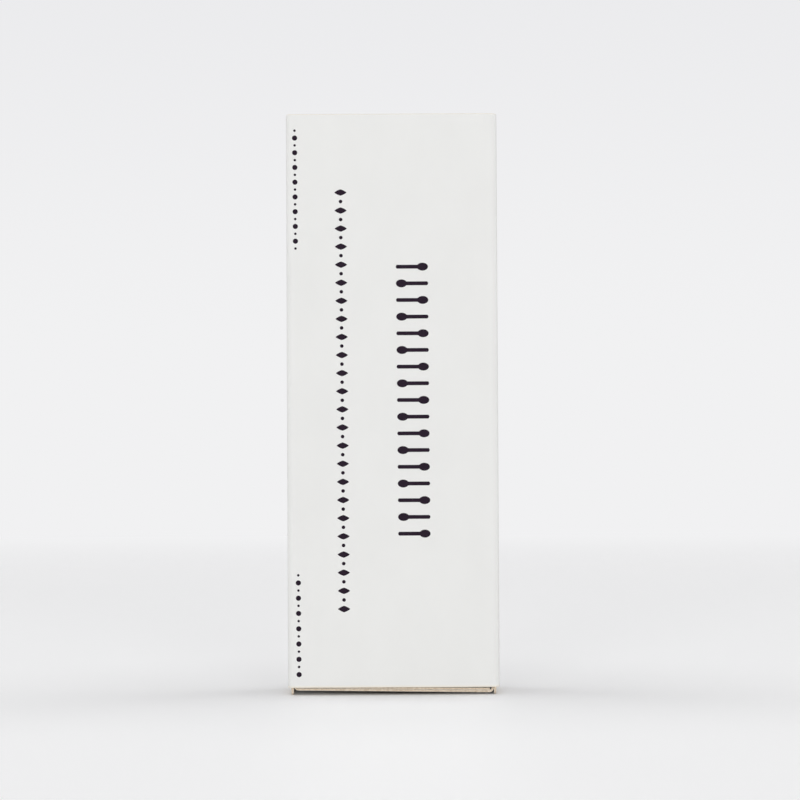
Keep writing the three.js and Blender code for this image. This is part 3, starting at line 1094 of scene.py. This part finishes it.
@dataclass
class Matches:
    """The thirty matches, each a square split stick with a dipped head, loose in the tray."""

    tray: Tray
    stick: float = 2.2 * MM
    head_length: float = 5.4 * MM
    head_width: float = 3.3 * MM
    head_cover: float = 2.0 * MM
    squareness: float = 9.0
    clearance: float = 0.05 * MM
    bow: float = 0.1 * MM
    turn: float = math.radians(37)
    widest: float = 1.35
    blunt: float = 0.62
    around: int = 24  # points round a stick or a head
    width_wander: Pair = (0.014, 40 * MM)  # its share of the width, and its wavelength
    foot_roll: Pair = (0.12 * MM, 0.07 * MM)  # length and depth
    twist: float = 0.05
    unevenness: float = 0.1  # of the turn from one match to the next
    head_ends: float = 0.006  # the share of the head left off at each end, where its faces would shrink to a point
    lump: float = 0.035
    lumps: tuple = ((1, 1.0), (2, 1.7), (3, 2.6), (5, 4.1))  # waves round the head, and half waves along it
    slump: float = 0.05 * MM

    def stick_surface(self, length: float, draw: np.random.Generator) -> Surface:
        """A stick standing at the origin.

        Its section is a superellipse: each coordinate is the half width times the cosine or sine to the power of
        two over the squareness, with its sign. It bows by a half sine, and its width wanders along it.

        Args:
            length: The stick's length.
            draw: The seeded source of its small differences.

        Returns:
            The closed stick.
        """
        section = superellipse(self.around, self.squareness, math.pi / self.around)
        level = eased(30)[:, None]
        z = level * (length - self.head_cover)
        share, wavelength = self.width_wander
        half = self.stick / 2 * (1 + share * wander(z, wavelength, draw))
        half = half - rolled(z, *self.foot_roll)
        x, y = turned(section[:, 0], section[:, 1], draw.uniform(-self.twist, self.twist) * level)
        lean = draw.uniform(0, 2 * math.pi)
        sway = self.bow * draw.uniform(0.3, 1) * np.sin(math.pi * level)
        ring = [half * x + sway * math.cos(lean), half * y + sway * math.sin(lean), z + 0 * x]
        return ringed(np.stack(ring, axis=-1), MatchPart.STICK)

    def head_surface(self, length: float, draw: np.random.Generator) -> Surface:
        """A head on top of a stick.

        At a share a of its length the radius is half the width times the sine of half a turn times a to the
        power widest, all to the power blunt. Drawn sines round it and along it make it lumpy.

        Args:
            length: The match's whole length.
            draw: The seeded source of its lumps.

        Returns:
            The closed head.
        """
        share = self.head_ends + (1 - 2 * self.head_ends) * eased(22)[:, None]
        angle = np.linspace(0, 2 * math.pi, self.around, endpoint=False)[None, :]
        radius = self.head_width / 2 * np.sin(math.pi * share**self.widest) ** self.blunt
        lumps = np.zeros((len(share), self.around))
        for turns, waves in self.lumps:
            first, second = draw.uniform(0, 2 * math.pi, 2)
            lumps += np.sin(turns * angle + first) * np.sin(waves * math.pi * share + second) / (turns + 1)
        radius = radius * (1 - self.lump + self.lump * lumps)
        slump = draw.uniform(-self.slump, self.slump, 2) * share
        z = length - self.head_length * (1 - share)
        ring = [radius * np.cos(angle) + slump[:, :1], radius * np.sin(angle) + slump[:, 1:], z + 0 * radius]
        return ringed(np.stack(ring, axis=-1), MatchPart.HEAD)

    def build(self, wood: bpy.types.Material, head: bpy.types.Material) -> None:
        """Makes each match in place of the frame's, standing on the leaning end wall.

        Args:
            wood: The sticks' finish.
            head: The heads' finish.
        """
        names = sorted(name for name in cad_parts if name.startswith("match_"))
        for k, name in enumerate(names):
            draw = np.random.default_rng(SEED * 100 + k)
            low, high = (np.array(corner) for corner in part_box(name))
            middle = (low + high) / 2
            length = high[2] - low[2]
            both = Surface.joined([self.stick_surface(length, draw), self.head_surface(length, draw)])
            turn = self.turn * k + draw.uniform(-self.unevenness, self.unevenness)
            x, y = turned(both.points[:, 0], both.points[:, 1], turn)
            foot = low[2] + float(self.tray.lean(middle[0], middle[1])) + self.clearance
            both.points = np.stack([middle[0] + x, middle[1] + y, foot + both.points[:, 2]], axis=-1)
            add_piece(f"dipped_{name}", both, [wood, head], "tray", (name,))


@dataclass
class PrintZone:
    """A strip of print on the front panel, running down the box."""

    name: str
    middle: float  # x of the strip's middle
    high: float  # z of its upper end
    low: float  # z of its lower end
    width: float  # across the strip


@dataclass
class FrontPrint:
    """The printed front: a row of matches, a string of lozenges and dots beside it, and two dotted lines."""

    sleeve: Sleeve
    title: PrintZone
    line: PrintZone
    captions: tuple[PrintZone, PrintZone]
    film: float = 0.016 * MM
    sunk: float = 0.01 * MM
    slant: float = math.radians(0.27)
    match_count: int = 17
    match_stick: float = 0.72 * MM
    match_head: Pair = (2.1 * MM, 1.5 * MM)
    bead_pitch: float = 1.65 * MM
    dot_pitch: float = 1.3 * MM
    match_taper: float = 0.2 * MM  # the length over which a stick's foot comes to its width
    lozenge: Pair = (0.52, 1.25)  # height over width, and squareness
    dots: Pair = (0.3, 0.62)  # small and large, over the width of their strip
    round_points: int = 16

    def stamp(self, outline: np.ndarray, x: float, z: float) -> Surface:
        """One printed shape as a thin film that follows the panel.

        Args:
            outline: The shape's outline round its middle, across and along the box.
            x, z: Where its middle is.

        Returns:
            The closed film.
        """
        centre = (self.sleeve.low[2] + self.sleeve.high[2]) / 2
        at_z = z + outline[:, 1]
        at_x = x + outline[:, 0] - (at_z - centre) * math.tan(self.slant)
        face = self.sleeve.front(at_x, at_z)
        rings = [np.stack([at_x, face - height, at_z], axis=-1) for height in (-self.sunk, self.film)]
        return ringed(np.stack(rings))

    def dot(self, size: float) -> np.ndarray:
        """The outline of a round dot."""
        return superellipse(self.round_points, 2) * size / 2
    def match_outline(self, span: float, flip: int) -> np.ndarray:
        """A match lying across the strip: a thin bar that widens into an oval head.

        Half its height at a place along it is the greater of the bar's and the oval's there.

        Args:
            span: The match's length.
            flip: 1 for a head to the right and -1 for one to the left.

        Returns:
            The outline.
        """
        head_length, head_height = self.match_head
        along = span * (eased(60) - 0.5)
        from_head = (along - (span - head_length) / 2) / (head_length / 2)
        oval = head_height / 2 * np.sqrt(np.clip(1 - from_head**2, 0, 1))
        foot = np.sqrt(np.clip((along + span / 2) / self.match_taper, 0, 1))
        bar = np.where(from_head < 0, self.match_stick / 2 * foot, 0)
        height = np.maximum(oval, bar)
        upper = np.stack([along, height], axis=-1)
        lower = np.stack([along, -height], axis=-1)[::-1][1:-1]
        return np.concatenate([upper, lower]) * np.array([flip, 1])

    def match_row(self) -> Surface:
        """The row of matches, with heads right and left by turns."""
        zone = self.title
        margin = self.match_head[1] / 2
        places = np.linspace(zone.high - margin, zone.low + margin, self.match_count)
        outlines = [self.match_outline(zone.width, 1 - 2 * (k % 2)) for k in range(self.match_count)]
        return Surface.joined([self.stamp(shape, zone.middle, z) for shape, z in zip(outlines, places)])

    def bead_string(self) -> Surface:
        """The string of lozenges with a small dot between each two."""
        zone = self.line
        count = int((zone.high - zone.low) / self.bead_pitch) // 2 * 2 + 1
        places = np.linspace(zone.high, zone.low, count)
        flat, squareness = self.lozenge
        lozenge = superellipse(28, squareness) * np.array([zone.width, flat * zone.width]) / 2
        dot = self.dot(self.dots[0] * zone.width)
        shapes = [dot if k % 2 else lozenge for k in range(count)]
        return Surface.joined([self.stamp(shape, zone.middle, z) for shape, z in zip(shapes, places)])

    def dotted(self, zone: PrintZone) -> Surface:
        """A line of dots, large and small by turns."""
        count = int((zone.high - zone.low) / self.dot_pitch)
        places = np.linspace(zone.high, zone.low, count)
        shapes = [self.dot(zone.width * self.dots[k % 2]) for k in range(count)]
        return Surface.joined([self.stamp(shape, zone.middle, z) for shape, z in zip(shapes, places)])

    def build(self, ink: bpy.types.Material) -> None:
        """Makes the four printed pieces."""
        shapes = {self.title.name: self.match_row(), self.line.name: self.bead_string()}
        shapes |= {zone.name: self.dotted(zone) for zone in self.captions}
        for name, surface in shapes.items():
            add_piece(name, surface, [ink], "sleeve")


@dataclass
class Studio:
    """The pale sweep, the two low front lamps, the overhead lamp and the even light of the room."""

    flat_back: float = 1.3
    flat_front: float = 1.6
    half_width: float = 2.6
    curve: float = 0.9
    wall: float = 2.2
    room: float = 0.445
    pale: float = 0.87
    front_share: float = 0.215
    side_share: float = 0.22
    top_share: float = 0.15
    distance: float = 1.5
    front_size: float = 0.34
    side_size: float = 1.1
    top_size: float = 1.0
    front_turn: float = math.radians(13)
    front_rise: float = math.radians(9)
    side_turn: float = math.radians(112)
    side_rise: float = math.radians(20)
    top_forward: float = 0.1
    box_middle: float = 0.055
    pale_blue: float = 1.005  # the backdrop's blue over its red

    @property
    def target(self) -> np.ndarray:
        """The middle of the box, which the lamps point at."""
        return np.array([0, 0, self.box_middle])

    def sweep(self, paper: bpy.types.Material) -> None:
        """The floor that turns up into a wall: a flat run, a quarter circle and an upright run.

        Args:
            paper: The sweep's finish.
        """
        angle = np.linspace(0, math.pi / 2, 25)
        arc_y = self.flat_back + self.curve * np.sin(angle)
        arc_z = self.curve * (1 - np.cos(angle))
        profile_y = np.concatenate([[-self.flat_front], arc_y, [self.flat_back + self.curve]])
        profile_z = np.concatenate([[0], arc_z, [self.curve + self.wall]])
        x = np.array([-self.half_width, self.half_width])
        points = [np.stack([np.full_like(profile_y, side), profile_y, profile_z], axis=-1) for side in x]
        rows = np.stack(points, axis=1).reshape(-1, 3)
        start = 2 * np.arange(len(profile_y) - 1)
        quads = np.stack([start, start + 1, start + 3, start + 2], axis=1)
        mesh = bpy.data.meshes.new("sweep")
        mesh.from_pydata(rows.tolist(), [], quads.tolist())
        mesh.materials.append(paper)
        mesh.shade_smooth()
        floor = new_object("sweep", mesh)

    def lamp(self, name: str, place: np.ndarray, size: float, share: float) -> None:
        """A square lamp aimed at the box's middle.

        A lamp of power P lights what faces it at distance d with P over pi d squared, and a share of 1 of the
        light at which a colour renders as written is pi, so P is the share times pi squared times d squared.

        Args:
            name: The lamp's name.
            place: Where it stands.
            size: The length of its side.
            share: The share of the full light that it gives a face turned to it.
        """
        towards = self.target - place
        light = bpy.data.lights.new(name, "AREA")
        light.size = size
        light.energy = share * math.pi**2 * float(towards @ towards)
        lamp = new_object(name, light)
        lamp.location = place
        lamp.rotation_euler = Vector(towards).to_track_quat("-Z", "Y").to_euler()
        lamp.visible_camera = False
        lamp.visible_glossy = False

    def lights(self) -> None:
        """The front lamps stand low beside the camera, large ones light the sides and one hangs above."""
        lamps = {
            "front": (self.front_turn, self.front_rise, self.front_size, self.front_share),
            "side": (self.side_turn, self.side_rise, self.side_size, self.side_share),
        }
        for name, (turn, rise, size, share) in lamps.items():
            for end, sign in (("left", -1), ("right", 1)):
                flat = math.cos(rise)
                heading = np.array([sign * flat * math.sin(turn), -flat * math.cos(turn), math.sin(rise)])
                self.lamp(f"{name}_{end}", self.target + self.distance * heading, size, share)
        above = self.target + np.array([0, -self.top_forward, self.distance])
        self.lamp("overhead", above, self.top_size, self.top_share)

    def room_light(self) -> None:
        """Even light from all round, which the camera and glossy surfaces see as the pale backdrop."""
        painter = Painter("room", bpy.data.worlds)
        path = painter.node("ShaderNodeLightPath", {}, {})
        rays = [Signal(painter, path.outputs[f"Is {ray} Ray"]) for ray in ("Camera", "Glossy", "Transmission")]
        seen = rays[0].most(rays[1]).most(rays[2])
        tone = (self.pale, self.pale, self.pale * self.pale_blue, 1)
        light = painter.node("ShaderNodeBackground", {}, {"Color": (1, 1, 1, 1), "Strength": self.room})
        backdrop = painter.node("ShaderNodeBackground", {}, {"Color": tone, "Strength": 1.0})
        both = painter.node("ShaderNodeMixShader", {}, {0: seen, 1: light.outputs[0], 2: backdrop.outputs[0]})
        painter.node("ShaderNodeOutputWorld", {}, {"Surface": both.outputs[0]})
        bpy.context.scene.world = painter.owner


@dataclass
class PhotoCamera:
    """The camera of the photograph: square to the front, a little below the box's middle and tipped up."""

    distance: float = 0.5  # to the front panel
    height: float = 0.04164
    sideways: float = 0.00135
    pitch: float = math.radians(1.6)
    roll: float = math.radians(0.28)
    focal: float = 119.05
    sensor: float = 36
    clip: Pair = (0.01, 20)

    def build(self, front: float) -> None:
        """Makes the camera and gives it to the scene.

        Args:
            front: The y of the front panel.
        """
        data = bpy.data.cameras.new("camera")
        data.lens = self.focal
        data.sensor_width = self.sensor
        data.clip_start, data.clip_end = self.clip
        camera = new_object("camera", data)
        camera.location = (self.sideways, front - self.distance, self.height)
        camera.rotation_euler = (math.pi / 2 + self.pitch, self.roll, 0)
        bpy.context.scene.camera = camera


def main() -> None:
    """Builds the box, its print and the studio in order."""
    logging.basicConfig(level=logging.INFO, format="%(message)s")
    bpy.context.scene.view_settings.view_transform = "Standard"
    coated, bare, cut = CoatedCard().material(), BareCard().material(), CutEdge().material()
    sleeve = Sleeve()
    sleeve.build(coated, bare, cut)
    coat = StrikingCoat().material()
    for sign in (-1, 1):
        StrikingStrip(sleeve, sign).build(coat)
    tray = Tray()
    tray.build(bare, bare, cut)
    Matches(tray).build(MatchWood().material(), MatchHead().material())
    FrontPrint(
        sleeve,
        title=PrintZone("printed_match_row", 3.9 * MM, 81.6 * MM, 29.6 * MM, 6.1 * MM),
        line=PrintZone("printed_bead_string", -9.5 * MM, 95 * MM, 16.2 * MM, 2.3 * MM),
        captions=(
            PrintZone("printed_dots_upper", -18.1 * MM, 106.8 * MM, 84.4 * MM, 1.6 * MM),
            PrintZone("printed_dots_lower", -18.1 * MM, 22.6 * MM, 3.9 * MM, 1.6 * MM),
        ),
    ).build(PrintingInk().material())
    studio = Studio()
    studio.sweep(StudioPaper().material())
    studio.lights()
    studio.room_light()
    PhotoCamera().build(sleeve.low[1])


if __name__ == "__main__":
    main()
